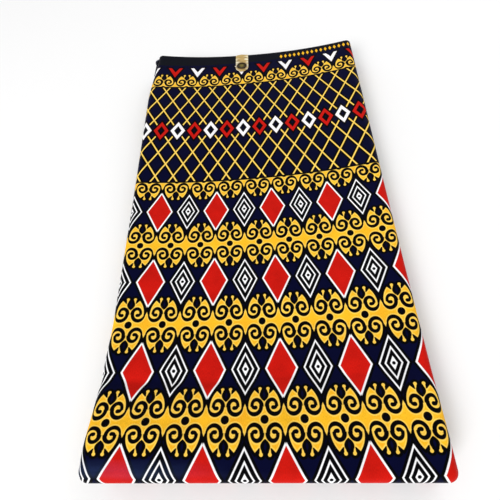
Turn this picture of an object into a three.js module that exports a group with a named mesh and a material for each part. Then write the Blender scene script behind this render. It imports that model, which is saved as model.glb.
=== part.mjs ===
// A six-yard length of wax print cloth, doubled along its middle and folded into a flat packet.
// Millimetres, +Z up. The packet lies on Z = 0 with its middle over the origin, its lengthwise
// fold on the -Y side and its woven selvages on the +Y side.
//
// top_panel      the outermost doubled panel, a wall that rolls down over three sides
// folded_layers  every panel under it, as one rounded body with a ridge for each pair of folds
// label          a strip of foil folded over the selvage

import * as THREE from 'three';

// ---- Driving sizes -------------------------------------------------------------------------

const PACKET_WIDTH = 308;        // across the two stacks of side folds, at its widest
const PACKET_LENGTH = 584;       // from the lengthwise fold to the foil over the selvage
const LEFT_TAPER = 6;            // how much narrower the packet is at the lengthwise fold

const MIDDLE_HEIGHT = 22;        // height of the cloth in the middle of the packet
const SIDE_FOLD_RISE = 13;       // the side folds stand this much over the middle
const SIDE_RISE_POWER = 2.2;
const SELVAGE_RISE = 5;          // and the selvages this much

// Beside the lengthwise fold the plies are turned back under the top panel, so the packet climbs
// there: a low swell, a step that is steepest at a transverse crease, and a slope up to the fold.
const SWELL = { from: -150, length: 48, rise: 5 };
const STEP = { from: -208, length: 34, rise: 8.5, crease: 0.08 };
const SLOPE = { from: -226, length: 46, rise: 9.5 };
const WHOLE_CLIMB = SWELL.rise + STEP.rise + SLOPE.rise;
const LEFT_LEAN = 0.35;          // the climb is this share higher at the left, lower at the right
const SIDE_RISE_LOST = 0.9;      // share of the side rise that the climb takes up

const PANEL_WALL = 1.2;          // two plies of pressed cotton and the air between them
const SEAM_GAP = 0.3;
const ROLL_RADIUS = 9;           // outside of the panel where it turns down
const ROLL_SKIRT = 3;            // straight drop below the roll

const RIDGE_COUNT = 7;           // bundles of folds that show below the top panel
const RIDGE_GROOVE = 1.4;        // depth of the groove between two bundles
const RIDGE_SWAY = 0.7;          // how far a bundle strays in or out
const RIDGE_PARTING = 0.8;       // drop from the top panel's rim to the first bundle
const BASE_ROUNDING = 3;         // how far the lowest bundle turns in under itself
const CLOSING_IN = 1.08;         // share of a corner's move inwards that its neighbours make
const SELVAGE_SETBACK = 2;       // the selvages below lie this far inside the top panel's edge

const LABEL_WIDTH = 20;
const LABEL_LENGTH = 38;         // from the selvage to the end that lies on the panel
const LABEL_CENTRE = -15;        // along X
const LABEL_FOIL = 1;
const LABEL_TURN = 3;            // length of the end that hangs over the selvage

// ---- Sizes that follow ---------------------------------------------------------------------

const QUARTER_ROLL = (ROLL_RADIUS * Math.PI) / 2;
const ROLL_LENGTH = QUARTER_ROLL + ROLL_SKIRT;
const HALF_WIDTH = PACKET_WIDTH / 2;
const HALF_LENGTH = PACKET_LENGTH / 2;
const CREST_X = HALF_WIDTH - ROLL_RADIUS;
const CREST_Y = HALF_LENGTH - ROLL_RADIUS;
const SELVAGE_Y = HALF_LENGTH - SEAM_GAP - LABEL_FOIL;
const LAYERS_DEPTH = PANEL_WALL + SEAM_GAP;

// ---- The lie of the cloth ------------------------------------------------------------------

// How far a zone that starts at zone.from has run towards the lengthwise fold, from 0 to 1.
function progress(y, zone) {
  return THREE.MathUtils.smoothstep(zone.from - y, 0, zone.length);
}

// The same for the step, which is steepest at its start, but for a narrow rounding at the crease.
function stepProgress(y) {
  const share = THREE.MathUtils.clamp((STEP.from - y) / STEP.length, 0, 1);
  const rounded = (share * share * (1 + STEP.crease)) / (share + STEP.crease);
  return 1 - (1 - rounded) ** 2;
}

// Height of the packet's top. The middle sags, because the folds lie thick along three sides.
function topHeight(x, y) {
  const across = x / HALF_WIDTH;
  const swell = SWELL.rise * progress(y, SWELL);
  const climb = swell + STEP.rise * stepProgress(y) + SLOPE.rise * progress(y, SLOPE);
  const sideShare = 1 - (SIDE_RISE_LOST * climb) / WHOLE_CLIMB;
  const side = SIDE_FOLD_RISE * Math.abs(across) ** SIDE_RISE_POWER * sideShare;
  const selvage = (SELVAGE_RISE * Math.max(y, 0)) / HALF_LENGTH;
  return MIDDLE_HEIGHT + side + selvage + climb * (1 - LEFT_LEAN * across);
}

// A length of cloth past the crest of a fold goes round a quarter turn and then straight down.
function rollOver(length, depth) {
  if (length >= QUARTER_ROLL) {
    return { out: ROLL_RADIUS - depth, drop: ROLL_RADIUS + length - QUARTER_ROLL };
  }
  const turn = length / ROLL_RADIUS;
  const radius = ROLL_RADIUS - depth;
  return { out: radius * Math.sin(turn), drop: ROLL_RADIUS - radius * Math.cos(turn) };
}

// How far a point of the cloth lies past the crests, as a length along X and along Y.
function pastCrest(place) {
  const x = Math.sign(place.x) * Math.max(Math.abs(place.x) - CREST_X, 0);
  const y = Math.min(place.y + CREST_Y, 0);
  return new THREE.Vector2(x, y);
}

// A point of the top panel from its place along the cloth, moved down into the packet by depth.
function panelPoint(place, depth) {
  const past = pastCrest(place);
  const { out, drop } = rollOver(past.length(), depth);
  const side = past.clone().normalize().multiplyScalar(out);
  const x = THREE.MathUtils.clamp(place.x, -CREST_X, CREST_X) + side.x;
  const y = Math.max(place.y, -CREST_Y) + side.y;
  const taper = (LEFT_TAPER * Math.max(-x / HALF_WIDTH, 0) * (SELVAGE_Y - y)) / PACKET_LENGTH;
  return new THREE.Vector3(x + taper, y, topHeight(x, y) - drop);
}

// ---- Closed solids from grids and rings ----------------------------------------------------

class SolidBuilder {
  positions = [];
  triangles = [];

  point(position) {
    this.positions.push(position.x, position.y, position.z);
    return this.positions.length / 3 - 1;
  }

  // A rectangle of points, rows of equal length. Its faces look up, or down when flipped.
  grid(rows, flipped = false) {
    const ids = rows.map((row) => row.map((position) => this.point(position)));
    for (let r = 0; r < ids.length - 1; r += 1) {
      for (let c = 0; c < ids[r].length - 1; c += 1) {
        this.quad(ids[r][c], ids[r][c + 1], ids[r + 1][c + 1], ids[r + 1][c], flipped);
      }
    }
    return ids;
  }

  quad(a, b, c, d, flipped = false) {
    if (flipped) {
      this.triangles.push(a, c, b, a, d, c);
    } else {
      this.triangles.push(a, b, c, a, c, d);
    }
  }

  // A band of faces from one ring down to the next.
  band(upper, lower) {
    upper.forEach((id, i) => {
      const next = (i + 1) % upper.length;
      this.quad(lower[i], lower[next], upper[next], id);
    });
  }

  // A flat floor under the last ring.
  floor(ring, centre) {
    const middle = this.point(centre);
    ring.forEach((id, i) => {
      this.triangles.push(middle, ring[(i + 1) % ring.length], id);
    });
  }

  geometry() {
    const geometry = new THREE.BufferGeometry();
    geometry.setAttribute('position', new THREE.Float32BufferAttribute(this.positions, 3));
    geometry.setIndex(this.triangles);
    geometry.computeVertexNormals();
    return geometry;
  }
}

// The edge of a grid as a ring, turning left as seen from above: near, right, far, left.
function edgeRing(rows) {
  const last = rows.length - 1;
  const end = rows[0].length - 1;
  const right = rows.slice(1, last).map((row) => row[end]);
  const left = rows.slice(1, last).map((row) => row[0]).reverse();
  return [...rows[0], ...right, ...[...rows[last]].reverse(), ...left];
}

// A wall between two grids of the same shape.
function wallGeometry(outerRows, innerRows) {
  const solid = new SolidBuilder();
  const outer = solid.grid(outerRows);
  const inner = solid.grid(innerRows, true);
  solid.band(edgeRing(outer), edgeRing(inner));
  return solid.geometry();
}

function mesh(name, geometry, material) {
  const part = new THREE.Mesh(geometry, new THREE.MeshStandardMaterial(material));
  part.name = name;
  return part;
}

// ---- The grid that the panel and the layers share ------------------------------------------

const ROLL_STEPS = 5;
const HALF_WIDTH_STEPS = 6;

// Rows of points along the packet, closest together where the cloth bends most.
const LENGTH_ZONES = [
  { from: -CREST_Y, to: SLOPE.from, rows: 6 },
  { from: SLOPE.from, to: STEP.from, rows: 5 },
  { from: STEP.from, to: SWELL.from, rows: 4 },
  { from: SWELL.from, to: SELVAGE_Y, rows: 11 },
];

function steps(from, to, count) {
  return Array.from({ length: count }, (_, i) => from + ((to - from) * i) / count);
}

// Places along the cloth, from skirt to skirt across the packet.
function placesAcross() {
  const half = [...steps(0, CREST_X, HALF_WIDTH_STEPS)];
  half.push(...steps(CREST_X, CREST_X + QUARTER_ROLL, ROLL_STEPS));
  half.push(CREST_X + QUARTER_ROLL, CREST_X + ROLL_LENGTH);
  return [...half.slice(1).reverse().map((place) => -place), ...half];
}

// Places along the cloth, from the skirt at the lengthwise fold to the selvage.
function placesAlong(selvage) {
  const places = [-CREST_Y - ROLL_LENGTH];
  places.push(...steps(-CREST_Y - QUARTER_ROLL, -CREST_Y, ROLL_STEPS));
  LENGTH_ZONES.forEach(({ from, to, rows }) => places.push(...steps(from, to, rows)));
  places.push(selvage);
  return places;
}

function clothPlaces(selvage) {
  const across = placesAcross();
  return placesAlong(selvage).map((y) => across.map((x) => new THREE.Vector2(x, y)));
}

function panelRows(places, depth) {
  return places.map((row) => row.map((place) => panelPoint(place, depth)));
}

// ---- Pieces --------------------------------------------------------------------------------

function topPanel() {
  const places = clothPlaces(SELVAGE_Y);
  const geometry = wallGeometry(panelRows(places, 0), panelRows(places, PANEL_WALL));
  return mesh('top_panel', geometry, { color: 0x15153a, roughness: 0.55, metalness: 0 });
}

// How a point on the rim moves when its ring stands out, or in, by reach. Beside the selvage the
// points on the roll only close in, a little more than the corner does, so that none coincide.
function rimShift(place, selvage, reach) {
  const past = pastCrest(place);
  if (place.y !== selvage) {
    return past.normalize().multiplyScalar(reach);
  }
  const onSkirt = Math.abs(past.x) >= ROLL_LENGTH;
  const share = onSkirt ? 1 : (CLOSING_IN * rollOver(Math.abs(past.x), 0).out) / ROLL_RADIUS;
  const sideways = onSkirt ? reach : share * Math.min(reach, 0);
  return new THREE.Vector2(Math.sign(past.x) * sideways, reach);
}

// One row for each ring of a bundle of folds, from its top to the groove below it.
const RIDGE_RINGS = [
  { down: 0.22, out: 0 },
  { down: 0.78, out: 0 },
  { down: 1.0, out: -RIDGE_GROOVE },
];

// Rings from the rim of the layers' top face down to the face that they rest on.
function ridgeRings() {
  const rings = [{ height: 1, out: -LAYERS_DEPTH }];
  for (let ridge = 0; ridge < RIDGE_COUNT; ridge += 1) {
    const sway = -RIDGE_SWAY * (1 + Math.sin(2.4 * ridge + 0.6));
    const lowest = ridge === RIDGE_COUNT - 1;
    RIDGE_RINGS.forEach(({ down, out }) => {
      const height = 1 - (ridge + down) / RIDGE_COUNT;
      const tuck = lowest ? -BASE_ROUNDING * down ** 3 : 0;
      rings.push({ height, out: out + sway + tuck });
    });
  }
  return rings;
}

function foldedLayers() {
  const selvage = SELVAGE_Y - SELVAGE_SETBACK;
  const places = clothPlaces(selvage);
  const topRows = panelRows(places, LAYERS_DEPTH);
  const solid = new SolidBuilder();
  const top = solid.grid(topRows);
  const rim = edgeRing(topRows);
  const rimPlaces = edgeRing(places);
  let upper = edgeRing(top);
  ridgeRings().forEach(({ height, out }) => {
    const reach = LAYERS_DEPTH + out;
    const lower = rim.map((point, i) => {
      const shift = rimShift(rimPlaces[i], selvage, reach);
      const z = Math.max((point.z - RIDGE_PARTING) * height, 0);
      return solid.point(new THREE.Vector3(point.x + shift.x, point.y + shift.y, z));
    });
    solid.band(upper, lower);
    upper = lower;
  });
  solid.floor(upper, new THREE.Vector3(0, 0, 0));
  return mesh('folded_layers', solid.geometry(), { color: 0x22203a, roughness: 0.6, metalness: 0 });
}

// The label's section along Y, from its free end on the panel to its turn over the selvage.
function labelSection(lift) {
  const overhang = SELVAGE_Y + lift;
  const flat = steps(SELVAGE_Y - LABEL_LENGTH, SELVAGE_Y, 4).map((y) => ({ y, up: lift }));
  return [...flat, { y: overhang, up: lift }, { y: overhang, up: -LABEL_TURN }];
}

function labelRows(lift) {
  const across = [-0.5, -0.25, 0, 0.25, 0.5].map((share) => LABEL_CENTRE + share * LABEL_WIDTH);
  return labelSection(lift).map(({ y, up }) =>
    across.map((x) => {
      const point = panelPoint(new THREE.Vector2(x, Math.min(y, SELVAGE_Y)), 0);
      return new THREE.Vector3(point.x, y, point.z + up);
    }),
  );
}

function label() {
  const geometry = wallGeometry(labelRows(SEAM_GAP + LABEL_FOIL), labelRows(SEAM_GAP));
  return mesh('label', geometry, { color: 0xc9b077, roughness: 0.3, metalness: 0.8 });
}

const packet = new THREE.Group();
packet.add(topPanel(), foldedLayers(), label());

export default packet;
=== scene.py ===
"""A folded length of wax print cloth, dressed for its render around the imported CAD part.

The cloth is printed by a node material that reads one UV map, "cloth". Its U runs across the packet
and its V along it, both in repeats of the print, so the motifs bend with the folds. Sizes are in
millimetres until a mesh is made, and in repeats where a name or comment says so.
"""

import math

import bpy
import numpy as np
from mathutils import Matrix, Vector


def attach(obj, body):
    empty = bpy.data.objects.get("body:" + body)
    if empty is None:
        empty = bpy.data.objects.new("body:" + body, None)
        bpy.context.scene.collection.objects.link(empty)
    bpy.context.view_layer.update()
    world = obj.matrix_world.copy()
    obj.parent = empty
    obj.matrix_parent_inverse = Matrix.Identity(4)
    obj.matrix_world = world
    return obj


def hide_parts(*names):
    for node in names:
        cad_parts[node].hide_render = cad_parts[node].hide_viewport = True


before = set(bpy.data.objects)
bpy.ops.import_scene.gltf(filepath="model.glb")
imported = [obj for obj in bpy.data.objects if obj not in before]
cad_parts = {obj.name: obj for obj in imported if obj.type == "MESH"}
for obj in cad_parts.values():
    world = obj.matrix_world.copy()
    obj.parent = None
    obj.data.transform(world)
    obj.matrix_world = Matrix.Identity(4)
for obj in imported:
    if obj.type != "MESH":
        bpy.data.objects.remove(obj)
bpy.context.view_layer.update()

MM = 0.001

# ---- The packet, as the CAD part has it ----

PACKET_WIDTH = 308.0
PACKET_LENGTH = 584.0
LEFT_TAPER = 6.0
MIDDLE_HEIGHT = 22.0
SIDE_FOLD_RISE = 13.0
SIDE_RISE_POWER = 2.2
SELVAGE_RISE = 5.0
SWELL = {"start": -150.0, "length": 48.0, "rise": 5.0}
STEP = {"start": -208.0, "length": 34.0, "rise": 8.5, "crease": 0.08}
SLOPE = {"start": -226.0, "length": 46.0, "rise": 9.5}
WHOLE_CLIMB = SWELL["rise"] + STEP["rise"] + SLOPE["rise"]
LEFT_LEAN = 0.35            # share more climb at the left, and less at the right
SIDE_RISE_LOST = 0.9        # share of the side rise that the climb takes up
PANEL_WALL = 1.2
SEAM_GAP = 0.3
ROLL_RADIUS = 9.0
ROLL_SKIRT = 3.0
RIDGE_COUNT = 7
RIDGE_PARTING = 0.8
BASE_ROUNDING = 3.0
CLOSING_IN = 1.08           # share of a corner's move inwards that its neighbours make
SELVAGE_SETBACK = 2.0
LABEL_WIDTH = 20.0
LABEL_CENTRE = -15.0
LABEL_FOIL = 1.0
LABEL_TURN = 3.0

QUARTER_ROLL = ROLL_RADIUS * math.pi / 2
ROLL_LENGTH = QUARTER_ROLL + ROLL_SKIRT
HALF_WIDTH = PACKET_WIDTH / 2
HALF_LENGTH = PACKET_LENGTH / 2
CREST_X = HALF_WIDTH - ROLL_RADIUS
CREST_Y = HALF_LENGTH - ROLL_RADIUS
SELVAGE_Y = HALF_LENGTH - SEAM_GAP - LABEL_FOIL
LAYERS_DEPTH = PANEL_WALL + SEAM_GAP

# ---- How the soft cloth lies a little off the solids ----

LEFT_STANDS_OUT = 3.0       # the soft folds of the left side bulge past the solid's
CORNER_DRAWN_IN = 8.0       # how far the far left corner closes in
CORNER_FROM = 185.0         # the place along the packet where it starts to
# How far the lengthwise fold lies out, and the selvages in: "middle" halfway across the packet. At
# the right side "across" is added, at the left it is taken off, and "across2" is added at both.
FOLD_SKEW = {"from": -235.0, "middle": 0.6, "across": 2.2}
SELVAGE_DRAWN_IN = {"from": 200.0, "middle": 3.9, "across": 2.2, "across2": 1.2}

# ---- The print, in repeats ----

REPEAT = 34.1               # millimetres from one diamond to the next
MIDDLE_U = 1.445            # what lies over the packet's middle
MIDDLE_V = 0.31
ROW_SPACING = 1.39          # from a row of diamonds to the middle of the next scroll band

DIAMONDS_END = 1.2          # no red or ringed diamond reaches past this V
# The lattice between its two edges. Two of its lines cross on its middle line, at crossing_u.
LATTICE = {"from": 1.33, "to": 6.74, "middle": 4.04, "crossing_u": 1.0}
LATTICE_CELL = {"width": 2 / 3, "height": 1.19, "line": 0.039}
BORDER_MIDDLE = 6.69        # middle line of the half band over the lattice
SELVAGE_STRIP = {"from": 8.17, "softness": 0.05}
SELVAGE_END_V = 8.95        # where the cloth ends, and what its ply edges show
PLY_EDGE_REACH = 0.02       # how far before the end of the cloth its grey edge starts
LOZENGE = {"v": 8.36, "spacing": 0.20, "half_width": 0.076, "half_height": 0.165, "from": 2.7}

RED_DIAMOND = {"half_width": 0.47, "half_height": 0.91, "rim": 0.062}
RINGED_DIAMOND = {"half_width": 0.41, "half_height": 0.785, "dot": 0.034}
RINGS = (1.0, 0.82, 0.62, 0.44, 0.27)     # shares of its size, white outside, then by turns
SMALL_DIAMOND = {"half_width": 0.31, "half_height": 0.525}
SMALL_HOLE = {"half_width": 0.135, "half_height": 0.24}
# A motif's "slant" is the true distance from its slanting sides over the distance across to them.
CHEVRON = {
    "tip": 7.35, "notch": 7.75, "top": 8.03, "left": 0.04,
    "outer_slope": 0.49, "inner_slope": 0.60, "slant": 0.87,
}

OUTLINE = 0.045             # width of the black line round every motif
INK_EDGE = 0.012            # over which one ink gives way to the next
DARK_SPREAD = 0.013         # how far the dark inks creep past their line into the bright ones
BRIGHT_FROM = 150           # the least red or green of a bright ink, out of 255
FAR_OFF = 9.0               # a distance that no motif's ink reaches

# A quarter of one unit of a band, measured across from the unit's middle and out from the band's.
# Its scroll is a line of half ellipses from the outside in, each on one side of its own level by
# turns. Of the last one only the outer quarter shows, and it ends in the blob.
SCROLL_FROM = 0.445
SCROLL_TURNS = (
    {"radius": 0.1815, "level": 0.33, "stretch": 1.10, "half_width": 0.039, "swelling": -0.026},
    {"radius": 0.120, "level": 0.35, "stretch": 1.32, "half_width": 0.027, "swelling": 0.012},
    {"radius": 0.077, "level": 0.375, "stretch": 1.01, "half_width": 0.038, "swelling": -0.012},
)
HALF_TURN_LAP = 0.015       # how far one half ellipse runs on into the next
SCROLL_BLOB = {"across": 0.226, "out": 0.300, "radius": 0.043}
HEART_FROM = 0.33           # out from the middle line, where the band's yellow parts into hearts
HEART_SIDE = {"across": -0.26, "out": 0.33, "radius": 0.682}
HEART_TOP = {"across": 0.160, "out": 0.694, "slope": 1.0}
SPIKE = {"half_width": 0.039, "tip": 0.435}       # the yellow point between two units
SHOULDER = {"across": 0.172, "out": 0.686}        # the corner from which the drop grows
# A bead on a neck, which widens by "spread" from its root to the bead.
DROP = {
    "across": 0.105, "out": 0.812, "radius": 0.056,
    "root": (0.120, 0.66), "neck": 0.019, "spread": 0.026,
}
# The dark almond in the unit's middle, open at its outer end by twice its mouth.
ALMOND = {"out": 0.641, "half_width": 0.105, "half_length": 0.168, "mouth": 0.048, "slant": 0.8}
BAND_DOT = {"radius": 0.092, "stretch": 1.08}
YELLOW_RIM = 0.032          # where the yellow meets a dark ink it is paler

# ---- Colours, as a screen shows them ----

NAVY = (4, 6, 40)
BLACK = (2, 2, 4)
SLATE = (14, 16, 24)
PLY_EDGE = (58, 60, 74)
YELLOW = (252, 190, 40)
PALE_YELLOW = (255, 214, 98)
YELLOW_HALO = (255, 208, 86)
ORANGE = (240, 150, 34)
RED = (197, 23, 14)
WHITE = (246, 246, 248)
GOLD_FOIL = (204, 172, 104)
FOIL_GLEAM = (255, 246, 214)
FOIL_SHADE = (112, 84, 40)
SEAL_OLIVE = (46, 34, 8)
SEAL_WORN = (122, 108, 48)
# the colour of the painted sheen over the lengthwise fold
PAINTED_SHEEN_BLUE = (110, 146, 224)
FLOOR_GREY = (250, 250, 250)


def linear(colour):
    """A screen colour as the linear colour that a shader takes."""
    def channel(value):
        share = value / 255
        return share / 12.92 if share <= 0.04045 else ((share + 0.055) / 1.055) ** 2.4
    return (*[channel(value) for value in colour], 1.0)


# ---- The lie of the cloth ----

SPECK = 1e-9                # stands in for a length of 0 where it would divide
SAME_PLACE = 1e-6           # places closer than this are one


def smooth(share):
    """A share of a way from 0 to 1, level at both ends."""
    share = np.clip(share, 0.0, 1.0)
    return share * share * (3 - 2 * share)


def progress(y, zone):
    """How far a zone has run towards the lengthwise fold, from 0 to 1."""
    return smooth((zone["start"] - y) / zone["length"])


def step_progress(y):
    """The same for the step, which is steepest at its start, but for a rounding at the crease."""
    share = np.clip((STEP["start"] - y) / STEP["length"], 0, 1)
    rounded = share * share * (1 + STEP["crease"]) / (share + STEP["crease"])
    return 1 - (1 - rounded) ** 2


# Soft ridges and troughs pressed into the top panel, from end to end.
CREASES = (
    {"from": (-62, 205), "to": (8, 246), "width": 4.0, "height": 0.5},
    {"from": (8, 246), "to": (150, 262), "width": 5.0, "height": 0.45},
    {"from": (-150, 60), "to": (-96, 52), "width": 6.0, "height": 0.5},
    {"from": (-154, -92), "to": (-70, -122), "width": 9.0, "height": 0.6},
    {"from": (-175, -211), "to": (10, -214), "width": 4.5, "height": -1.3},
    {"from": (-150, -196), "to": (0, -200), "width": 6.0, "height": 0.6},
    {"from": (60, -150), "to": (154, -120), "width": 9.0, "height": -0.5},
    {"from": (-20, -262), "to": (110, -250), "width": 8.0, "height": -0.5},
    {"from": (-140, -245), "to": (-60, -262), "width": 7.0, "height": 0.7},
)
CREASE_FADE = 0.3           # share of a crease's length over which it fades at either end


def crease_height(x, y):
    """How far the creases lift the top panel, or lower it."""
    total = 0.0
    for crease in CREASES:
        start = np.array(crease["from"], float)
        run = np.array(crease["to"], float) - start
        length = np.hypot(*run)
        along = ((x - start[0]) * run[0] + (y - start[1]) * run[1]) / length
        aside = ((x - start[0]) * -run[1] + (y - start[1]) * run[0]) / length
        fade = CREASE_FADE * length
        ends = smooth(along / fade) * smooth((length - along) / fade)
        total += crease["height"] * ends * np.exp(-((aside / crease["width"]) ** 2))
    return total


def top_height(x, y):
    """Height of the packet's top, which sags in the middle, with its creases."""
    across = x / HALF_WIDTH
    swell = SWELL["rise"] * progress(y, SWELL)
    climb = swell + STEP["rise"] * step_progress(y) + SLOPE["rise"] * progress(y, SLOPE)
    side_share = 1 - SIDE_RISE_LOST * climb / WHOLE_CLIMB
    side = SIDE_FOLD_RISE * np.abs(across) ** SIDE_RISE_POWER * side_share
    selvage = SELVAGE_RISE * np.maximum(y, 0) / HALF_LENGTH
    lie = MIDDLE_HEIGHT + side + selvage + climb * (1 - LEFT_LEAN * across)
    return lie + crease_height(x, y)


def roll_over(length, depth):
    """How far out and down a length of cloth past the crest of a fold reaches."""
    turn = np.minimum(length, QUARTER_ROLL) / ROLL_RADIUS
    radius = ROLL_RADIUS - depth
    straight = np.maximum(length - QUARTER_ROLL, 0)
    return radius * np.sin(turn), ROLL_RADIUS - radius * np.cos(turn) + straight


def past_crest(px, py):
    """How far places along the cloth lie past the crests of its folds, across and along."""
    return np.sign(px) * np.maximum(np.abs(px) - CREST_X, 0), np.minimum(py + CREST_Y, 0)


def left_shift(x, y):
    """How far in the left side lies: it tapers, its soft folds bulge, its corner is drawn in."""
    narrowing = LEFT_TAPER * (SELVAGE_Y - y) / PACKET_LENGTH
    corner = CORNER_DRAWN_IN * smooth((y - CORNER_FROM) / (SELVAGE_Y - CORNER_FROM))
    return np.maximum(-x / HALF_WIDTH, 0) * (narrowing + corner - LEFT_STANDS_OUT)


def fold_skew(x, y):
    """How far out the lengthwise fold lies."""
    out = FOLD_SKEW["middle"] + FOLD_SKEW["across"] * np.clip(x / HALF_WIDTH, -1, 1)
    return out * smooth((FOLD_SKEW["from"] - y) / (FOLD_SKEW["from"] + CREST_Y))


def panel_point(px, py, depth):
    """Points of the top panel from their places along the cloth, moved down by depth."""
    past_x, past_y = past_crest(px, py)
    length = np.hypot(past_x, past_y)
    out, drop = roll_over(length, depth)
    scale = out / np.maximum(length, SPECK)
    x = np.clip(px, -CREST_X, CREST_X) + past_x * scale
    y = np.maximum(py, -CREST_Y) + past_y * scale
    height = top_height(x, y) - drop
    return np.stack([x + left_shift(x, y), y - fold_skew(x, y), height], axis=-1)


# The print is not quite straight on the cloth. A point of it strays along the packet by powers of
# its place across, as a share of "half_width", and "twist" grows from one end to the other.
BOW = {
    "half_width": 152.5, "across": 2.28, "across2": -0.42, "across3": 0.57,
    "twist": 3.20, "twist2": 0.60,
}


def bow(x, y):
    across, along = np.clip(x / BOW["half_width"], -1, 1), y / HALF_LENGTH
    level = BOW["across"] * across + BOW["across2"] * across ** 2 + BOW["across3"] * across ** 3
    return level + (BOW["twist"] * across + BOW["twist2"] * across ** 2) * along


# Rows of the print, from the lengthwise fold on: their places along the packet as seen from above,
# in repeats, and their own V.
PRINT_ROWS = (
    (-8.20, -8.34), (-6.905, -6.95), (-5.592, -5.56), (-4.175, -4.17), (-2.765, -2.78),
    (-1.399, -1.39), (0.0, 0.0), (4.04, 4.04), (8.90, 8.90),
)
# How far the first row strays from the lengthwise fold: more at both sides, most at the right.
FOLD_BOW = {"across": 1.4, "across2": 4.2}
ARC_STEP = 0.5              # between the points at which a column is measured
STEEPEST = 0.99             # of the fold's roll, where a row may still be placed


def cloth_place(y):
    """The place along the cloth of a point of the plan, which differs on the near fold's roll."""
    past = np.clip((-CREST_Y - y) / ROLL_RADIUS, 0, STEEPEST)
    return np.where(y < -CREST_Y, -CREST_Y - ROLL_RADIUS * np.arcsin(past), y)


def print_column(x, py):
    """Print coordinates down one column of the cloth: even along it from one row to the next."""
    across = np.clip(x, -HALF_WIDTH, HALF_WIDTH)
    y = np.arange(-CREST_Y - 2 * ROLL_LENGTH, HALF_LENGTH + 2 * ARC_STEP, ARC_STEP)
    height = top_height(np.full_like(y, across), np.maximum(y, -CREST_Y))
    arc = np.concatenate([[0], np.cumsum(np.hypot(np.diff(y), np.diff(height)))])
    row_plan, row_v = np.array(PRINT_ROWS).T
    row_y = (row_plan - MIDDLE_V) * REPEAT
    row_y += bow(across, row_y)
    share = across / HALF_WIDTH
    row_y[0] += FOLD_BOW["across"] * share + FOLD_BOW["across2"] * share ** 2
    row_arc = np.interp(cloth_place(row_y), y, arc)
    place = np.interp(py, y, arc)
    before = np.minimum(place - row_arc[0], 0) / REPEAT
    return np.interp(place, row_arc, row_v) + before


def cloth_coords(px, py):
    """Places along the cloth as print coordinates, in repeats."""
    v = np.empty(px.shape)
    for x in np.unique(px):
        v[px == x] = print_column(x, py[px == x])
    return np.stack([(px + left_shift(px, py)) / REPEAT + MIDDLE_U, v], axis=-1)


# ---- Meshes ----

def add_object(name, data):
    added = bpy.data.objects.new(name, data)
    bpy.context.collection.objects.link(added)
    return added


class ClothMesh:
    """Points with print coordinates, and the faces between them."""

    def __init__(self):
        self.points = []
        self.coords = []
        self.quads = []
        self.triangles = []
        self.count = 0

    def add(self, points, coords):
        """Adds an array of points and returns their numbers in the same arrangement."""
        ids = np.arange(self.count, self.count + points[..., 0].size).reshape(points.shape[:-1])
        self.points.append(points.reshape(-1, 3))
        self.coords.append(np.broadcast_to(coords, (*points.shape[:-1], 2)).reshape(-1, 2))
        self.count += ids.size
        return ids

    def grid(self, ids, flipped=False):
        """Faces between the points of a grid, facing up unless flipped."""
        quads = np.stack([ids[:-1, :-1], ids[:-1, 1:], ids[1:, 1:], ids[1:, :-1]], axis=-1)
        self.quads.append((quads[..., ::-1] if flipped else quads).reshape(-1, 4))

    def band(self, upper, lower):
        """Faces from one ring down to the next."""
        after = np.roll(upper, -1), np.roll(lower, -1)
        self.quads.append(np.stack([lower, after[1], after[0], upper], axis=-1))

    def fan(self, ring, centre, flipped=False):
        """Faces between a ring and one point, facing up unless flipped."""
        corners = ring, np.roll(ring, -1), np.full_like(ring, centre)
        self.triangles.append(np.stack(corners[::-1] if flipped else corners, axis=-1))

    def build(self, name, material, sharp_degrees=50.0):
        """Makes the piece, with a sharp edge wherever two faces meet at more than an angle."""
        mesh = bpy.data.meshes.new(name)
        points = np.concatenate(self.points) * MM
        coords = np.concatenate(self.coords)
        faces = [face for block in (*self.quads, *self.triangles) for face in block.tolist()]
        mesh.from_pydata(points.tolist(), [], faces)
        layer = mesh.uv_layers.new(name="cloth")
        corners = np.empty(len(mesh.loops), dtype=np.int32)
        mesh.loops.foreach_get("vertex_index", corners)
        layer.uv.foreach_set("vector", coords[corners].astype(np.float32).ravel())
        mesh.shade_smooth()
        mesh.set_sharp_from_angle(angle=math.radians(sharp_degrees))
        mesh.materials.append(material)
        mesh.validate()
        return add_object(name, mesh)


def edge_ring(rows):
    """The edge of a grid as a ring, turning left as seen from above."""
    return np.concatenate([rows[0], rows[1:-1, -1], rows[-1][::-1], rows[1:-1, 0][::-1]])


def spaced(start, stop, spacing):
    """Even places from start to stop, about a spacing apart."""
    return np.linspace(start, stop, max(2, round((stop - start) / spacing) + 1))


def joined(*stretches):
    """Stretches of places in one, without the ones that they share."""
    return np.unique(np.round(np.concatenate(stretches), 6))


PANEL_SPACING = 2.4
FINE_SPACING = 1.1          # where the cloth bends most
CREASE_MARGIN = 3.0         # how far past the crease it stays fine


def places_across(spacing):
    roll = spaced(CREST_X, CREST_X + ROLL_LENGTH, FINE_SPACING)
    return joined(-roll, spaced(-CREST_X, CREST_X, spacing), roll)


def places_along(spacing, selvage):
    past_crease = STEP["start"] + CREASE_MARGIN
    return joined(
        spaced(-CREST_Y - ROLL_LENGTH, -CREST_Y, FINE_SPACING),
        spaced(-CREST_Y, SLOPE["start"], spacing),
        spaced(SLOPE["start"], past_crease, FINE_SPACING),
        spaced(past_crease, selvage, spacing),
    )


def drawn_in(px, py):
    """Places along the cloth with the uneven selvages of the visible packet."""
    across = np.clip(px / HALF_WIDTH, -1, 1)
    shape = SELVAGE_DRAWN_IN
    back = shape["middle"] + shape["across"] * across + shape["across2"] * across ** 2
    return py - back * smooth((py - shape["from"]) / (SELVAGE_Y - shape["from"]))


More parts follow.
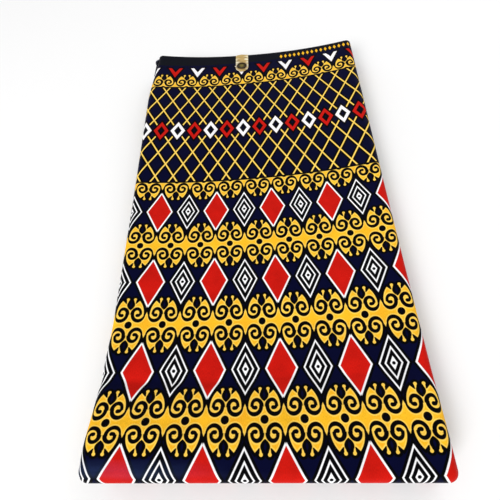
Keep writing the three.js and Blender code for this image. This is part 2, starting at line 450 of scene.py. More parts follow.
def top_panel(material):
    """The outermost doubled panel, as one thin shell."""
    px, py = np.meshgrid(places_across(PANEL_SPACING), places_along(PANEL_SPACING, SELVAGE_Y))
    py = drawn_in(px, py)
    coords = cloth_coords(px, py)
    cloth = ClothMesh()
    outer = cloth.add(panel_point(px, py, 0.0), coords)
    inner = cloth.add(panel_point(px, py, PANEL_WALL), coords)
    cloth.grid(outer)
    cloth.grid(inner, flipped=True)
    cloth.band(edge_ring(outer), edge_ring(inner))
    return cloth.build("top_panel_cloth", material)


# ---- The layers below ----

LAYER_SPACING = 4.5
RINGS_PER_RIDGE = 20
NECK_DEPTH = 2.0            # how far the first fold is drawn in under the top panel's rim
NECK_SHARE = 0.12           # of a ridge's height, over which it comes out again
BASE_SHARE = 0.6            # of the lowest ridge's height, over which it turns in under itself
STRAY_FOLD = {"out": 7.5, "from": 165.0, "to": 265.0}     # a fold that peeps out at the far left

# The folds round the edge, one, two and four of them to a ridge. "groove" is how deep it is between
# two of them, "square" how blunt they are, "back" how far they all lie in, and "stray" how far each
# may lie from that. A ripple runs along each, "turn" radians further on than along the one above.
SIDE_FOLDS = {
    "groove": 2.4, "square": 4.0, "back": 1.0, "stray": 1.0, "seed": 1.7,
    "ripple": 0.5, "ripple_length": 61.0, "turn": 2.1,
}
NEAR_FOLDS = {
    "groove": 1.5, "square": 4.0, "back": 0.9, "stray": 0.8, "seed": 0.9,
    "ripple": 0.4, "ripple_length": 43.0, "turn": 1.9,
}
SELVAGES = {
    "groove": 1.6, "square": 6.0, "back": 1.2, "stray": 1.0, "seed": 2.3,
    "ripple": 0.7, "ripple_length": 57.0, "turn": 1.3,
}


STRAY_WAVES = {"turn": 2.4, "seeded_turn": 1.3, "start": 0.7}     # two out of step, in radians


def stray(index, seed):
    """An uneven but fixed number from -1 to 1 for each fold."""
    second = STRAY_WAVES["seeded_turn"] * index * seed + STRAY_WAVES["start"]
    return np.sin(STRAY_WAVES["turn"] * index + seed) * np.cos(second)


def fold_offset(kind, down, place, side=0.0):
    """How far out a point lies, so many folds down from the rim and at a place along them.

    A fold at the side, given by its place across, strays and ripples in its own way.
    """
    fold = np.floor(down)
    groove = kind["groove"] * np.abs(2 * (down - fold) - 1) ** kind["square"]
    ripple = np.sin(place / kind["ripple_length"] + kind["turn"] * fold + side)
    sway = kind["stray"] * stray(fold, kind["seed"] + np.sign(side)) + kind["ripple"] * ripple
    return -groove - kind["back"] + sway


def side_folds_down(ridges, x):
    """Folds down from the rim at the two sides, where the left ones lie half a fold higher."""
    return ridges + np.where(x < 0, 0.5, 0.0)


def side_offset(ridges, x, y):
    """The same for the two sides, with the fold that peeps out."""
    down = side_folds_down(ridges, x)
    peeping = smooth((y - STRAY_FOLD["from"]) / (STRAY_FOLD["to"] - STRAY_FOLD["from"]))
    on_stray_fold = (x < 0) & (down < 2)
    return fold_offset(SIDE_FOLDS, down, y, side=x) + STRAY_FOLD["out"] * peeping * on_stray_fold


NEAR_FOLD_V = -8.62         # the cloth's middle line, where it is doubled
LEFT_FOLD_U = -HALF_WIDTH / REPEAT + MIDDLE_U
PANEL_REPEATS = PACKET_WIDTH / REPEAT
NOSE_STRETCH = 1.3          # length round a fold over its height


def side_u(ridges, x, ridge_height):
    """Print coordinate across the side folds: each joins two panels, so it runs on round them."""
    down = side_folds_down(ridges, x)
    fold = np.floor(down)
    start = np.where(x < 0, LEFT_FOLD_U, LEFT_FOLD_U - PANEL_REPEATS)
    round_nose = (down - fold - 0.5) * ridge_height * NOSE_STRETCH / REPEAT
    return start - 2 * PANEL_REPEATS * fold - round_nose


def panel_u(ridges, x):
    """Print coordinate across the panels below the top one, every other one turned over."""
    panel = np.floor(2 * ridges) + 1
    across = (x + HALF_WIDTH) / REPEAT
    turned = panel % 2 == 1
    start = LEFT_FOLD_U - 2 * PANEL_REPEATS * np.floor(panel / 2)
    return start + np.where(turned, -across, across)


class Rim:
    """The rim of the layers' top face: where each point is, and which way is out of the packet."""

    def __init__(self, top, px, py):
        self.x, self.y, self.z = edge_ring(top).T
        self.place_x, self.place_y = edge_ring(px), edge_ring(py)
        past_x, past_y = past_crest(self.place_x, self.place_y)
        length = np.maximum(np.hypot(past_x, past_y), SPECK)
        self.out_x, self.out_y = past_x / length, past_y / length
        self.far = self.place_y >= edge_ring(py[-1:].repeat(len(py), 0)) - SAME_PLACE
        self.hand = np.sign(past_x)
        on_skirt = np.abs(past_x) >= ROLL_LENGTH - SAME_PLACE
        closing = CLOSING_IN * roll_over(np.abs(past_x), 0.0)[0] / ROLL_RADIUS
        self.closing = np.where(on_skirt, 1.0, closing)

    def moved(self, around, back, z):
        """The rim moved out by around at the folds and by back at the selvages, at a height."""
        x = self.x + np.where(self.far, self.hand * self.closing * around, self.out_x * around)
        y = self.y + np.where(self.far, back, self.out_y * around)
        return np.stack([x, y, z], axis=-1)


def layer_ring(rim, ring, rings):
    """Points and print coordinates of one ring round the layers, from the top rim downwards."""
    ridges = ring / RINGS_PER_RIDGE
    tuck = BASE_ROUNDING * float(smooth((ridges - RIDGE_COUNT + BASE_SHARE) / BASE_SHARE)) ** 2
    neck = NECK_DEPTH * float(1 - smooth(ridges / NECK_SHARE))
    side_weight = rim.out_x ** 2
    side = side_offset(ridges, rim.x, rim.y)
    near = fold_offset(NEAR_FOLDS, 2 * ridges, rim.x)
    around = side_weight * side + (1 - side_weight) * near
    back = fold_offset(SELVAGES, 4 * ridges, rim.x)
    height = (rim.z - RIDGE_PARTING) * (1 - ring / rings)
    points = rim.moved(around - tuck - neck, back - tuck - neck, np.maximum(height, 0.0))
    ridge_height = (rim.z - RIDGE_PARTING) / RIDGE_COUNT
    near_nose = (2 * ridges % 1 - 0.5) * ridge_height / 2 * NOSE_STRETCH / REPEAT
    on_side = (side_weight > 0.5) & ~rim.far
    u = np.where(on_side, side_u(ridges, rim.x, ridge_height), panel_u(ridges, rim.x))
    down_packet = print_column(rim.x.mean(), rim.place_y)
    v = np.where(rim.far, SELVAGE_END_V, np.where(on_side, down_packet, NEAR_FOLD_V - near_nose))
    return points, np.stack([u, v], axis=-1)


def print_underside(piece):
    """Lays the print flat over the faces that the packet rests on."""
    mesh = piece.data
    layer = mesh.uv_layers["cloth"]
    for face in mesh.polygons:
        if any(mesh.vertices[corner].co.z > SAME_PLACE * MM for corner in face.vertices):
            continue
        for loop in face.loop_indices:
            place = mesh.vertices[mesh.loops[loop].vertex_index].co / MM
            layer.uv[loop].vector = (MIDDLE_U - place.x / REPEAT, place.y / REPEAT + MIDDLE_V)


def folded_layers(material):
    """Every panel under the top one, as one body with its folds and selvages round the edge."""
    selvage = SELVAGE_Y - SELVAGE_SETBACK
    px, py = np.meshgrid(places_across(LAYER_SPACING), places_along(LAYER_SPACING, selvage))
    py = drawn_in(px, py)
    top = panel_point(px, py, LAYERS_DEPTH)
    cloth = ClothMesh()
    ids = cloth.add(top, cloth_coords(px, py))
    cloth.grid(ids)
    rim = Rim(top, px, py)
    upper = edge_ring(ids)
    rings = RIDGE_COUNT * RINGS_PER_RIDGE
    for ring in range(rings + 1):
        lower = cloth.add(*layer_ring(rim, ring, rings))
        cloth.band(upper, lower)
        upper = lower
    centre = cloth.add(np.zeros((1, 3)), np.zeros(2))
    cloth.fan(upper, centre[0], flipped=True)
    piece = cloth.build("folded_layers_cloth", material)
    print_underside(piece)
    return piece


# ---- The label ----

FOIL_THICKNESS = 0.25
FOIL_LIFT = 0.45            # how far it lies over the cloth at its edges
FOIL_BULGE = 0.5            # and how much more in its middle
FOIL_AT = LABEL_CENTRE - 1.0     # a little to the left of the solid's
FOIL_END = 247.0            # where its round end lies on the panel
FOIL_LOOP = 1.3             # how far it stands off the selvage where it turns over it
FOIL_BEND = 0.6             # the first stretch below that turn
# Stations round its round end and round the turn, as shares of a quarter turn.
FOIL_ROUNDING = np.linspace(0.06, 1.0, 10, endpoint=False)
FOIL_TURN = (0.25, 0.5, 0.75, 1.0)
FOIL_STEPS_ALONG = 18
FOIL_STEPS_ACROSS = 14
FOIL_SELVAGE = float(drawn_in(FOIL_AT, SELVAGE_Y))
# Waves that run over the foil, in radians to a millimetre.
CRUMPLES = (
    {"height": 0.16, "across": 0.35, "along": 0.9},
    {"height": 0.10, "across": 0.55, "along": -0.4},
)


def label_rows():
    """Stations from the label's round end to its free end: place, half width and drop."""
    half = LABEL_WIDTH / 2
    turns = FOIL_ROUNDING * math.pi / 2
    rows = [(FOIL_END + half * (1 - math.cos(turn)), half * math.sin(turn), 0.0) for turn in turns]
    along = np.linspace(FOIL_END + half, FOIL_SELVAGE, FOIL_STEPS_ALONG)
    rows += [(y, half, 0.0) for y in along]
    for share in FOIL_TURN:
        turn = share * math.pi / 2
        drop = FOIL_LOOP * (1 - math.cos(turn))
        rows.append((FOIL_SELVAGE + FOIL_LOOP * math.sin(turn), half, drop))
    drops = (FOIL_LOOP + FOIL_BEND, LABEL_TURN)
    rows += [(FOIL_SELVAGE + FOIL_LOOP, half, drop) for drop in drops]
    return rows


def crumple(x, y):
    return sum(
        each["height"] * math.sin(each["across"] * x + each["along"] * y)
        for each in CRUMPLES
    )


def foil_point(share, row, lift):
    """A point of the foil, at a share of its half width and lifted by its thickness or by 0."""
    y, half, drop = row
    x = FOIL_AT + share * half
    on_cloth = panel_point(np.array(x), np.array(min(y, FOIL_SELVAGE)), 0.0)
    bulge = FOIL_BULGE * (1 - share * share)
    return (on_cloth[0], y, on_cloth[2] + FOIL_LIFT + bulge + crumple(x, y) + lift - drop)


def label_foil(material):
    """The strip of foil, folded over the selvage."""
    rows = label_rows()
    shares = np.linspace(-1, 1, FOIL_STEPS_ACROSS + 1)
    cloth = ClothMesh()
    sides = []
    for lift in (FOIL_THICKNESS, 0.0):
        points = np.array([[foil_point(share, row, lift) for share in shares] for row in rows])
        coords = (points[..., :2] - (FOIL_AT, SELVAGE_Y)) / LABEL_WIDTH
        sides.append(cloth.add(points, coords))
    cloth.grid(sides[0])
    cloth.grid(sides[1], flipped=True)
    cloth.band(edge_ring(sides[0]), edge_ring(sides[1]))
    return cloth.build("label_foil", material, sharp_degrees=70.0)


SEAL_AT = 259.8
SEAL_RADIUS = 7.6
SEAL_SIDES = 40
SEAL_LEVEL = 1.25           # over the cloth that lies under the foil
# Rings of the plain seal, from its foot on the foil over its rim: share of its radius, and height.
SEAL_PROFILE = ((1.0, -0.25), (1.0, 0.25), (0.95, 0.5), (0.86, 0.5), (0.80, 0.22), (0.4, 0.26))
SEAL_MIDDLE = 0.3


def seal_ring(share, height):
    angles = np.arange(SEAL_SIDES) * 2 * math.pi / SEAL_SIDES
    x = FOIL_AT + SEAL_RADIUS * share * np.cos(angles)
    y = SEAL_AT + SEAL_RADIUS * share * np.sin(angles)
    return np.stack([x, y, panel_point(x, y, 0.0)[:, 2] + SEAL_LEVEL + height], axis=-1)


def label_seal(material):
    """The plain round seal with its raised rim."""
    cloth = ClothMesh()
    rings = [cloth.add(seal_ring(share, height), np.zeros(2)) for share, height in SEAL_PROFILE]
    middle = cloth.add(seal_ring(0.0, SEAL_MIDDLE)[:1], np.zeros(2))
    foot = cloth.add(seal_ring(*SEAL_PROFILE[0]).mean(0, keepdims=True), np.zeros(2))
    for lower, upper in zip(rings[:-1], rings[1:]):
        cloth.band(upper, lower)
    cloth.fan(rings[-1], middle[0])
    cloth.fan(rings[0], foot[0], flipped=True)
    return cloth.build("label_seal", material, sharp_degrees=35.0)


# ---- Node materials ----

class Number:
    """A value in a node tree, so that the motifs below can be written as sums."""

    def __init__(self, tree, socket):
        self.tree, self.socket = tree, socket

    def maths(self, operation, *others, clamp=False):
        """One step of arithmetic, with numbers or other values of the tree."""
        node = self.tree.nodes.new("ShaderNodeMath")
        node.operation, node.use_clamp = operation, clamp
        for slot, value in enumerate((self, *others)):
            if isinstance(value, Number):
                self.tree.links.new(value.socket, node.inputs[slot])
            else:
                node.inputs[slot].default_value = value
        return Number(self.tree, node.outputs[0])

    def __add__(self, other):
        return self.maths("ADD", other)

    def __sub__(self, other):
        return self.maths("SUBTRACT", other)

    def __mul__(self, other):
        return self.maths("MULTIPLY", other)

    def __truediv__(self, other):
        return self.maths("DIVIDE", other)

    def __neg__(self):
        return self.maths("MULTIPLY", -1.0)

    def size(self):
        return self.maths("ABSOLUTE")

    def least(self, other):
        return self.maths("MINIMUM", other)

    def most(self, other):
        return self.maths("MAXIMUM", other)

    def below(self, limit):
        return self.maths("LESS_THAN", limit)

    def above(self, limit):
        return self.maths("GREATER_THAN", limit)

    def held(self, factor=1.0):
        """The value times a factor, held between 0 and 1."""
        return self.maths("MULTIPLY", factor, clamp=True)

    def off_nearest(self, half_period):
        """Distance to the nearest whole period."""
        return self.maths("PINGPONG", half_period)

    def inked(self, reach=0.0):
        """1 inside a motif whose distance this is, 0 outside it, with a narrow soft edge."""
        return (self - (reach + INK_EDGE / 2)).held(-1.0 / INK_EDGE)


def distance(across, along):
    return (across * across + along * along).maths("SQRT")


def new_material(name, roughness, metallic=0.0, specular=0.5):
    """A material, its tree, and the tree's shader."""
    material = bpy.data.materials.new(name)
    material.use_nodes = True
    shader = material.node_tree.nodes["Principled BSDF"]
    shader.inputs["Roughness"].default_value = roughness
    shader.inputs["Metallic"].default_value = metallic
    shader.inputs["Specular IOR Level"].default_value = specular
    return material, material.node_tree, shader


def split(tree, socket):
    """The first two coordinates of a vector, as numbers."""
    node = tree.nodes.new("ShaderNodeSeparateXYZ")
    tree.links.new(socket, node.inputs[0])
    return Number(tree, node.outputs[0]), Number(tree, node.outputs[1])


def cloth_uv(tree):
    node = tree.nodes.new("ShaderNodeUVMap")
    node.uv_map = "cloth"
    return node.outputs["UV"]


def noise(tree, coords, scale, stretch=(1.0, 1.0, 1.0), detail=3.0):
    """Smooth noise from 0 to 1, with so many spots to a unit of the coordinates."""
    mapping = tree.nodes.new("ShaderNodeMapping")
    mapping.inputs["Scale"].default_value = stretch
    tree.links.new(coords, mapping.inputs["Vector"])
    texture = tree.nodes.new("ShaderNodeTexNoise")
    texture.inputs["Scale"].default_value = scale
    texture.inputs["Detail"].default_value = detail
    tree.links.new(mapping.outputs["Vector"], texture.inputs["Vector"])
    return Number(tree, texture.outputs["Fac"])


def add_bump(tree, shader, height, strength, millimetres):
    bump = tree.nodes.new("ShaderNodeBump")
    bump.inputs["Strength"].default_value = strength
    bump.inputs["Distance"].default_value = millimetres * MM
    tree.links.new(height.socket, bump.inputs["Height"])
    tree.links.new(bump.outputs["Normal"], shader.inputs["Normal"])


def inner_radius(shape):
    """Distance from a diamond's middle to its sides."""
    width, height = shape["half_width"], shape["half_height"]
    return width * height / math.hypot(width, height)


def diamond(across, along, shape):
    """Distance outside a diamond, less than 0 inside it."""
    radius = inner_radius(shape)
    across = across * (radius / shape["half_width"])
    return across + along * (radius / shape["half_height"]) - radius


class Paint:
    """A colour, as one ink is laid over another."""

    def __init__(self, tree, colour):
        self.tree, self.colour = tree, linear(colour)

    def lay(self, motif, colour, reach=0.0, where=None):
        """Inks a motif, given as a distance, as far out as reach, and only where it is asked."""
        bright = max(colour[:2]) > BRIGHT_FROM
        mask = motif.inked(reach + (-DARK_SPREAD if bright else DARK_SPREAD))
        self.blend(mask if where is None else mask * where, colour)

    def blend(self, mask, colour):
        node = self.tree.nodes.new("ShaderNodeMix")
        node.data_type = "RGBA"
        factor, below, above = node.inputs["Factor"], node.inputs[6], node.inputs[7]
        self.tree.links.new(mask.socket, factor)
        if isinstance(self.colour, tuple):
            below.default_value = self.colour
        else:
            self.tree.links.new(self.colour, below)
        above.default_value = linear(colour)
        self.colour = node.outputs[2]


def paint_lattice(paint, u, v):
    """The lattice, and the row of small diamonds on its middle, white and red by turns."""
    u = u - LATTICE["crossing_u"]
    width, height = LATTICE_CELL["width"], LATTICE_CELL["height"]
    across, up = u / width, (v - LATTICE["middle"]) / height
    falling = (across + up).off_nearest(0.5)
    rising = (across - up).off_nearest(0.5)
    steepness = math.hypot(1 / width, 1 / height)
    beyond = (v - LATTICE["to"]).most(-(v - LATTICE["from"]))
    line = (falling.least(rising) / steepness - LATTICE_CELL["line"]).most(beyond)
    paint.lay(line, BLACK, reach=OUTLINE)
    paint.lay(line, PALE_YELLOW)
    along = (v - LATTICE["middle"]).size()
    white = u.off_nearest(width)
    nearest = white.least(-(white - width))
    outer = diamond(nearest, along, SMALL_DIAMOND)
    hole = diamond(nearest, along, SMALL_HOLE)
    paint.lay(outer, BLACK, reach=OUTLINE)
    paint.lay(outer, RED)
    paint.lay(outer, WHITE, where=white.below(width / 2))
    paint.lay(hole, BLACK)
    paint.lay(hole, NAVY, reach=-2 * OUTLINE)


def paint_diamonds(paint, u, v):
    """Rows of red and ringed diamonds by turns."""
    across_red = u.off_nearest(1.0)
    across_ringed = -(across_red - 1.0)
    along = v.off_nearest(ROW_SPACING)
    above_rows = v - DIAMONDS_END
    red = diamond(across_red, along, RED_DIAMOND).most(above_rows)
    paint.lay(red, BLACK, reach=OUTLINE)
    paint.lay(red, WHITE)
    paint.lay(red, RED, reach=-RED_DIAMOND["rim"] + DARK_SPREAD)
    outside = above_rows.above(0.0) * FAR_OFF
    ringed = diamond(across_ringed, along, RINGED_DIAMOND) + outside
    radius = inner_radius(RINGED_DIAMOND)
    paint.lay(ringed, BLACK, reach=OUTLINE)
    for number, share in enumerate(RINGS):
        paint.lay(ringed, WHITE if number % 2 == 0 else BLACK, reach=(share - 1) * radius)
    dot = distance(across_ringed, along) - RINGED_DIAMOND["dot"]
    paint.lay(dot + outside, BLACK)


def paint_chevrons(paint, u, v):
    """A row of chevrons below the selvage, red and white by turns."""
    u = u + CHEVRON["left"]
    across = u.off_nearest(0.5)
    outer = across - (v - CHEVRON["tip"]) * CHEVRON["outer_slope"]
    inner = (v - CHEVRON["notch"]) * CHEVRON["inner_slope"] - across
    chevron = (outer.most(inner) * CHEVRON["slant"]).most(v - CHEVRON["top"])
    odd = u.off_nearest(1.0).above(0.5)
    paint.lay(chevron, BLACK, reach=OUTLINE)
    paint.lay(chevron, RED)
    paint.lay(chevron, WHITE, where=odd)


def half_turn(across, out, centre, turn, outwards):
    """Distance from half an ellipse on one side of its level, swelling to its outer end."""
    raised = out - turn["level"]
    side = ((across - centre) * (outwards / turn["radius"])).most(0.0)
    half_width = side * side * turn["swelling"] + turn["half_width"]
    off_line = (distance(across - centre, raised / turn["stretch"]) - turn["radius"]).size()
    return (off_line - half_width).most(raised * outwards - HALF_TURN_LAP)


def scroll_lines(across, out):
    """Distance from the dark line that winds from the scroll's outer side in to its blob."""
    blob = SCROLL_BLOB
    line = distance(across - blob["across"], out - blob["out"]) - blob["radius"]
    start, outwards = SCROLL_FROM, 1
    for turn in SCROLL_TURNS:
        centre = start - outwards * turn["radius"]
        arc = half_turn(across, out, centre, turn, outwards)
        if turn is SCROLL_TURNS[-1]:
            arc = arc.most(-(across - centre))
        line = line.least(arc)
        start, outwards = centre - outwards * turn["radius"], -outwards
    return line


def heart_shape(across, out):
    """Distance outside half a heart: a round side, cut off by a slanting top."""
    side = distance(across - HEART_SIDE["across"], out - HEART_SIDE["out"]) - HEART_SIDE["radius"]
    slope = HEART_TOP["slope"]
    rise = out - HEART_TOP["out"] - (across - HEART_TOP["across"]) * slope
    return side.most(rise / math.hypot(1, slope))


def drop_shape(across, out):
    """Distance outside the bead that stands on a heart, and its neck."""
    root_x, root_y = DROP["root"]
    run = math.hypot(DROP["across"] - root_x, DROP["out"] - root_y)
    cos, sin = (DROP["across"] - root_x) / run, (DROP["out"] - root_y) / run
    from_x, from_y = across - root_x, out - root_y
    aside = (from_x * sin - from_y * cos).size()
    along = from_x * cos + from_y * sin
    half_width = along * (DROP["spread"] / run) + DROP["neck"]
    neck = (aside - half_width).most((along - run / 2).size() - run / 2)
    return neck.least(distance(across - DROP["across"], out - DROP["out"]) - DROP["radius"])


def almond_shape(across, out):
    """Distance outside the dark almond in the unit's middle."""
    rise = (out - ALMOND["out"]) / ALMOND["half_length"]
    lens = -(rise * rise - 1.0) * ALMOND["half_width"]
    mouth = rise.above(0.0) * (ALMOND["mouth"] + 1.0) - 1.0
    return (across - lens.most(mouth)) * ALMOND["slant"]


def scroll_body(across, out):
    """Distance outside the yellow of a band: its middle, hearts, spikes and drops."""
    low = out - HEART_FROM
    taper = SPIKE["half_width"] / (SPIKE["tip"] - HEART_FROM)
    spike = -(across - (0.5 - SPIKE["half_width"])) + low * taper
    shoulder = (across - SHOULDER["across"]).most(out - SHOULDER["out"])
    body = low.least(heart_shape(across, out)).least(spike).least(shoulder)
    return body.least(drop_shape(across, out)).most(-almond_shape(across, out))


def paint_bands(paint, u, v, warm):
    """The bands between the rows of diamonds, and a half band at either edge of the lattice."""
    across = -(u.off_nearest(0.5) - 0.5)
    in_rows = v.below(ROW_SPACING)
    rows = (v - ROW_SPACING).off_nearest(ROW_SPACING)
    out = rows * in_rows + (v - BORDER_MIDDLE).size() * -(in_rows - 1.0)
    in_lattice = (v - LATTICE["from"]).least(-(v - LATTICE["to"]))
    body = scroll_body(across, out).most(in_lattice)
    paint.lay(body, BLACK, reach=OUTLINE)
    lines = scroll_lines(across, out)
    dot = distance(across, out / BAND_DOT["stretch"]) - BAND_DOT["radius"]
    inner = body.most(-lines.least(dot))
    paint.lay(body, YELLOW_HALO)
    paint.lay(inner, YELLOW, reach=-YELLOW_RIM)
    paint.blend(inner.inked(-DARK_SPREAD - YELLOW_RIM) * warm, ORANGE)
    paint.lay(lines.most(in_lattice), BLACK)
    dot = dot.most(in_lattice)
    paint.lay(dot, BLACK)
    paint.lay(dot, NAVY, reach=-2 * OUTLINE)


def paint_selvage(paint, u, v):
    """The dark strip along the selvage, its row of lozenges, and the grey of the ply edges."""
    strip = (v - SELVAGE_STRIP["from"]).held(1 / SELVAGE_STRIP["softness"])
    paint.blend(strip, SLATE)
    paint.blend(v.above(SELVAGE_END_V - PLY_EDGE_REACH), PLY_EDGE)
    across = u.off_nearest(LOZENGE["spacing"] / 2)
    along = (v - LOZENGE["v"]).size()
    lozenge = diamond(across, along, LOZENGE)
    paint.lay(lozenge, YELLOW, where=u.above(LOZENGE["from"]))


# ---- The cloth's material ----

THREADS_PER_REPEAT = 82.0
# Orange patches in the yellow, and the unevenness of every ink, from patch to patch and thread to
# thread, so many to a repeat.
WARM = {"patches": 1.1, "contrast": 3.2, "depth": 0.8}
TONE = {"patches": 2.2, "patch_depth": 0.45, "threads": 60.0, "thread_depth": 0.5}
THREAD_STRETCH = (1.0, 0.3, 1.0)
# A painted sheen: a paler, bluish highlight on the cloth over the lengthwise fold, full at the
# packet's left and gone at "right", a U, after fading over "spread".
FOLD_SHEEN = {
    "v": -8.13, "half_length": 0.27, "right": 0.8, "spread": 2.8,
    "depth": 0.12, "streaks": 1.6, "stretch": (0.5, 2.0, 1.0),
}


def painted_fold_sheen(tree, coords, u, v):
    """How much of the painted sheen shows, from 0 to 1."""
    off = (v - FOLD_SHEEN["v"]).size() / FOLD_SHEEN["half_length"]
    along = (-off + 1.0).held()
    across = (-u + FOLD_SHEEN["right"]).held(1 / FOLD_SHEEN["spread"])
    streaks = noise(tree, coords, FOLD_SHEEN["streaks"], FOLD_SHEEN["stretch"])
    return along * across * (streaks * FOLD_SHEEN["depth"])


def weave(u, v):
    """Height of a plain weave, from 0 to 1."""
    turn = THREADS_PER_REPEAT * math.pi
    warp = (u * turn).maths("SINE")
    weft = (v * turn).maths("SINE")
    return (warp * weft).maths("MULTIPLY_ADD", 0.5, 0.5)


def dyed(tree, coords, colour):
    """A colour as the inks took on the cloth, a little uneven in tone."""
    patches = noise(tree, coords, TONE["patches"])
    threads = noise(tree, coords, TONE["threads"], stretch=THREAD_STRETCH, detail=1.0)
    tone = (patches - 0.5) * TONE["patch_depth"] + (threads - 0.5) * TONE["thread_depth"] + 1.0
    shade = tree.nodes.new("ShaderNodeVectorMath")
    shade.operation = "SCALE"
    tree.links.new(colour, shade.inputs[0])
    tree.links.new(tone.socket, shade.inputs["Scale"])
    return shade.outputs["Vector"]


def printed_cotton():
    """The cloth: every motif is laid over the ones before it, and the dye and weave over all."""
    material, tree, shader = new_material("wax_print_cotton", roughness=0.46, specular=0.03)
    coords = cloth_uv(tree)
    u, v = split(tree, coords)
    paint = Paint(tree, NAVY)
    paint_lattice(paint, u, v)
    paint_diamonds(paint, u, v)
    warm = (noise(tree, coords, WARM["patches"]) - 0.5).held(WARM["contrast"])
    paint_bands(paint, u, v, warm * WARM["depth"])
    paint_chevrons(paint, u, v)
    paint_selvage(paint, u, v)
    # a painted sheen, a bluish highlight, laid over the lengthwise fold
    paint.blend(painted_fold_sheen(tree, coords, u, v), PAINTED_SHEEN_BLUE)
    tree.links.new(dyed(tree, coords, paint.colour), shader.inputs["Base Color"])
    add_bump(tree, shader, weave(u, v), strength=0.25, millimetres=0.1)
    return material


# ---- The label's materials, and the floor's ----

# The foil, in label widths. Its streaks and long sides gleam with painted highlights, and painted
# shade darkens it in its creases and round the seal that was pressed into it.
STREAKS = {"spots": 2.2, "stretch": (0.6, 2.4, 1.0), "contrast": 5.0}
LONG_SIDES = {"from": 0.24, "contrast": 3.6}
FOIL_CREASES = {"spots": 3.4, "stretch": (0.4, 2.0, 1.0), "detail": 4.0}
CREASE_SHADE = {"from": 0.54, "contrast": 7.0, "depth": 0.75}
SEAL_SHADE = {"reach": 0.58, "fall": 4.0, "depth": 0.55}
# The seal is worn as far out as "reach", in its radii, and unevenly, with so many spots to a metre.
SEAL_WEAR = {"reach": 0.62, "contrast": 2.6, "unevenness": 1.6, "spots": 600.0}


def foil():
    """Creased gold film: painted highlights make it paler at its two long sides and in streaks
    across it.
    """
    material, tree, shader = new_material("gold_foil", roughness=0.28, metallic=0.35)
    coords = cloth_uv(tree)
    u, v = split(tree, coords)
    streaks = noise(tree, coords, STREAKS["spots"], STREAKS["stretch"])
    sides = (u.size() - LONG_SIDES["from"]) * LONG_SIDES["contrast"]
    gleam = (sides + (streaks - 0.5) * STREAKS["contrast"]).held()
    shape = FOIL_CREASES
    creases = noise(tree, coords, shape["spots"], shape["stretch"], shape["detail"])
    shade = (creases - CREASE_SHADE["from"]).held(CREASE_SHADE["contrast"])
    off_seal = distance(u, v - (SEAL_AT - SELVAGE_Y) / LABEL_WIDTH)
    round_seal = (off_seal - SEAL_SHADE["reach"]).held(-SEAL_SHADE["fall"])
    paint = Paint(tree, GOLD_FOIL)
    # painted highlights at the long sides and in streaks
    paint.blend(gleam, FOIL_GLEAM)
    # painted shade in the creases and round the seal
    paint.blend(shade * CREASE_SHADE["depth"], FOIL_SHADE)
    paint.blend(round_seal * SEAL_SHADE["depth"], FOIL_SHADE)
    tree.links.new(paint.colour, shader.inputs["Base Color"])
    add_bump(tree, shader, streaks, strength=0.5, millimetres=0.6)
    return material


def seal_metal():
    """Dark embossing foil, worn paler in its middle, inside the raised rim."""
    material, tree, shader = new_material("seal_metal", roughness=0.42, metallic=0.3, specular=0.2)
    coords = tree.nodes.new("ShaderNodeTexCoord").outputs["Object"]
    x, y = split(tree, coords)
    off_middle = distance(x - FOIL_AT * MM, y - SEAL_AT * MM) / (SEAL_RADIUS * MM)
    spots = noise(tree, coords, SEAL_WEAR["spots"], detail=2.0) - 0.5
    worn = (-off_middle + SEAL_WEAR["reach"]) * SEAL_WEAR["contrast"]
    worn = (worn + spots * SEAL_WEAR["unevenness"]).held()
    paint = Paint(tree, SEAL_OLIVE)
    paint.blend(worn, SEAL_WORN)
    tree.links.new(paint.colour, shader.inputs["Base Color"])
    return material


def floor_material():
    material, _, shader = new_material("pale_floor", roughness=0.8)
    shader.inputs["Base Color"].default_value = linear(FLOOR_GREY)
    return material


# ---- Camera, floor and light ----

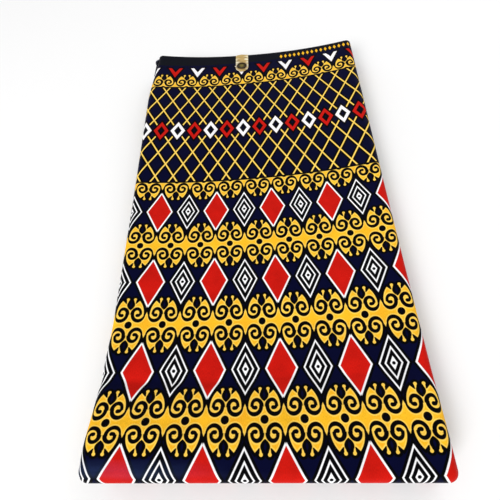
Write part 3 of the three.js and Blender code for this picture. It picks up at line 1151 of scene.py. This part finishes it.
IMAGE_SIDE = 500.0          # in pixels, as the focal length is
FOCAL_LENGTH = 370.0
SENSOR = 36.0
CAMERA_TURN = Vector((2.622297, -0.051857, -0.106637))      # axis times angle, in radians
CAMERA_AT = Vector((18.65, -276.76, 385.96))
CAMERA_NEAREST = 0.01       # in metres, as are the floor and lights
FLOOR_SIDE = 8.0
FLOOR_AT = (0, 0, -0.0002)
LIGHTS = (
    {"name": "soft_box", "at": (-1.7, -2.8, 2.5), "side": 1.6, "power": 105.0},
    {"name": "fill", "at": (0.9, 1.0, 1.2), "side": 1.4, "power": 6.0},
)
ROOM_LIGHT = 0.62


def add_camera():
    data = bpy.data.cameras.new("camera")
    data.sensor_width = SENSOR
    data.lens = FOCAL_LENGTH / IMAGE_SIDE * SENSOR
    data.clip_start = CAMERA_NEAREST
    camera = add_object("camera", data)
    to_camera = Matrix.Rotation(CAMERA_TURN.length, 3, CAMERA_TURN.normalized())
    right, down, forward = to_camera
    axes = Matrix((right, -down, -forward)).transposed()
    camera.matrix_world = Matrix.Translation(CAMERA_AT * MM) @ axes.to_4x4()
    bpy.context.scene.camera = camera


def add_floor():
    bpy.ops.mesh.primitive_plane_add(size=FLOOR_SIDE, location=FLOOR_AT)
    floor = bpy.context.object
    floor.name = "floor"
    floor.data.materials.append(floor_material())


def add_lights():
    for light in LIGHTS:
        data = bpy.data.lights.new(light["name"], "AREA")
        data.size = light["side"]
        data.energy = light["power"]
        lamp = add_object(light["name"], data)
        lamp.location = light["at"]
        lamp.rotation_mode = "QUATERNION"
        lamp.rotation_quaternion = Vector(light["at"]).to_track_quat("Z", "Y")
    world = bpy.data.worlds.new("room")
    bpy.context.scene.world = world
    world.use_nodes = True
    background = world.node_tree.nodes["Background"]
    background.inputs["Strength"].default_value = ROOM_LIGHT
    background.inputs["Color"].default_value = (1, 1, 1, 1)


# ---- The scene ----

add_camera()
add_floor()
add_lights()
bpy.context.scene.view_settings.view_transform = "Standard"

cotton = printed_cotton()
panel = top_panel(cotton)
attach(panel, "root")
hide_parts("top_panel")

stack = folded_layers(cotton)
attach(stack, "root")
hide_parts("folded_layers")

tag = label_foil(foil())
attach(tag, "root")
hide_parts("label")

seal = label_seal(seal_metal())
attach(seal, "root")
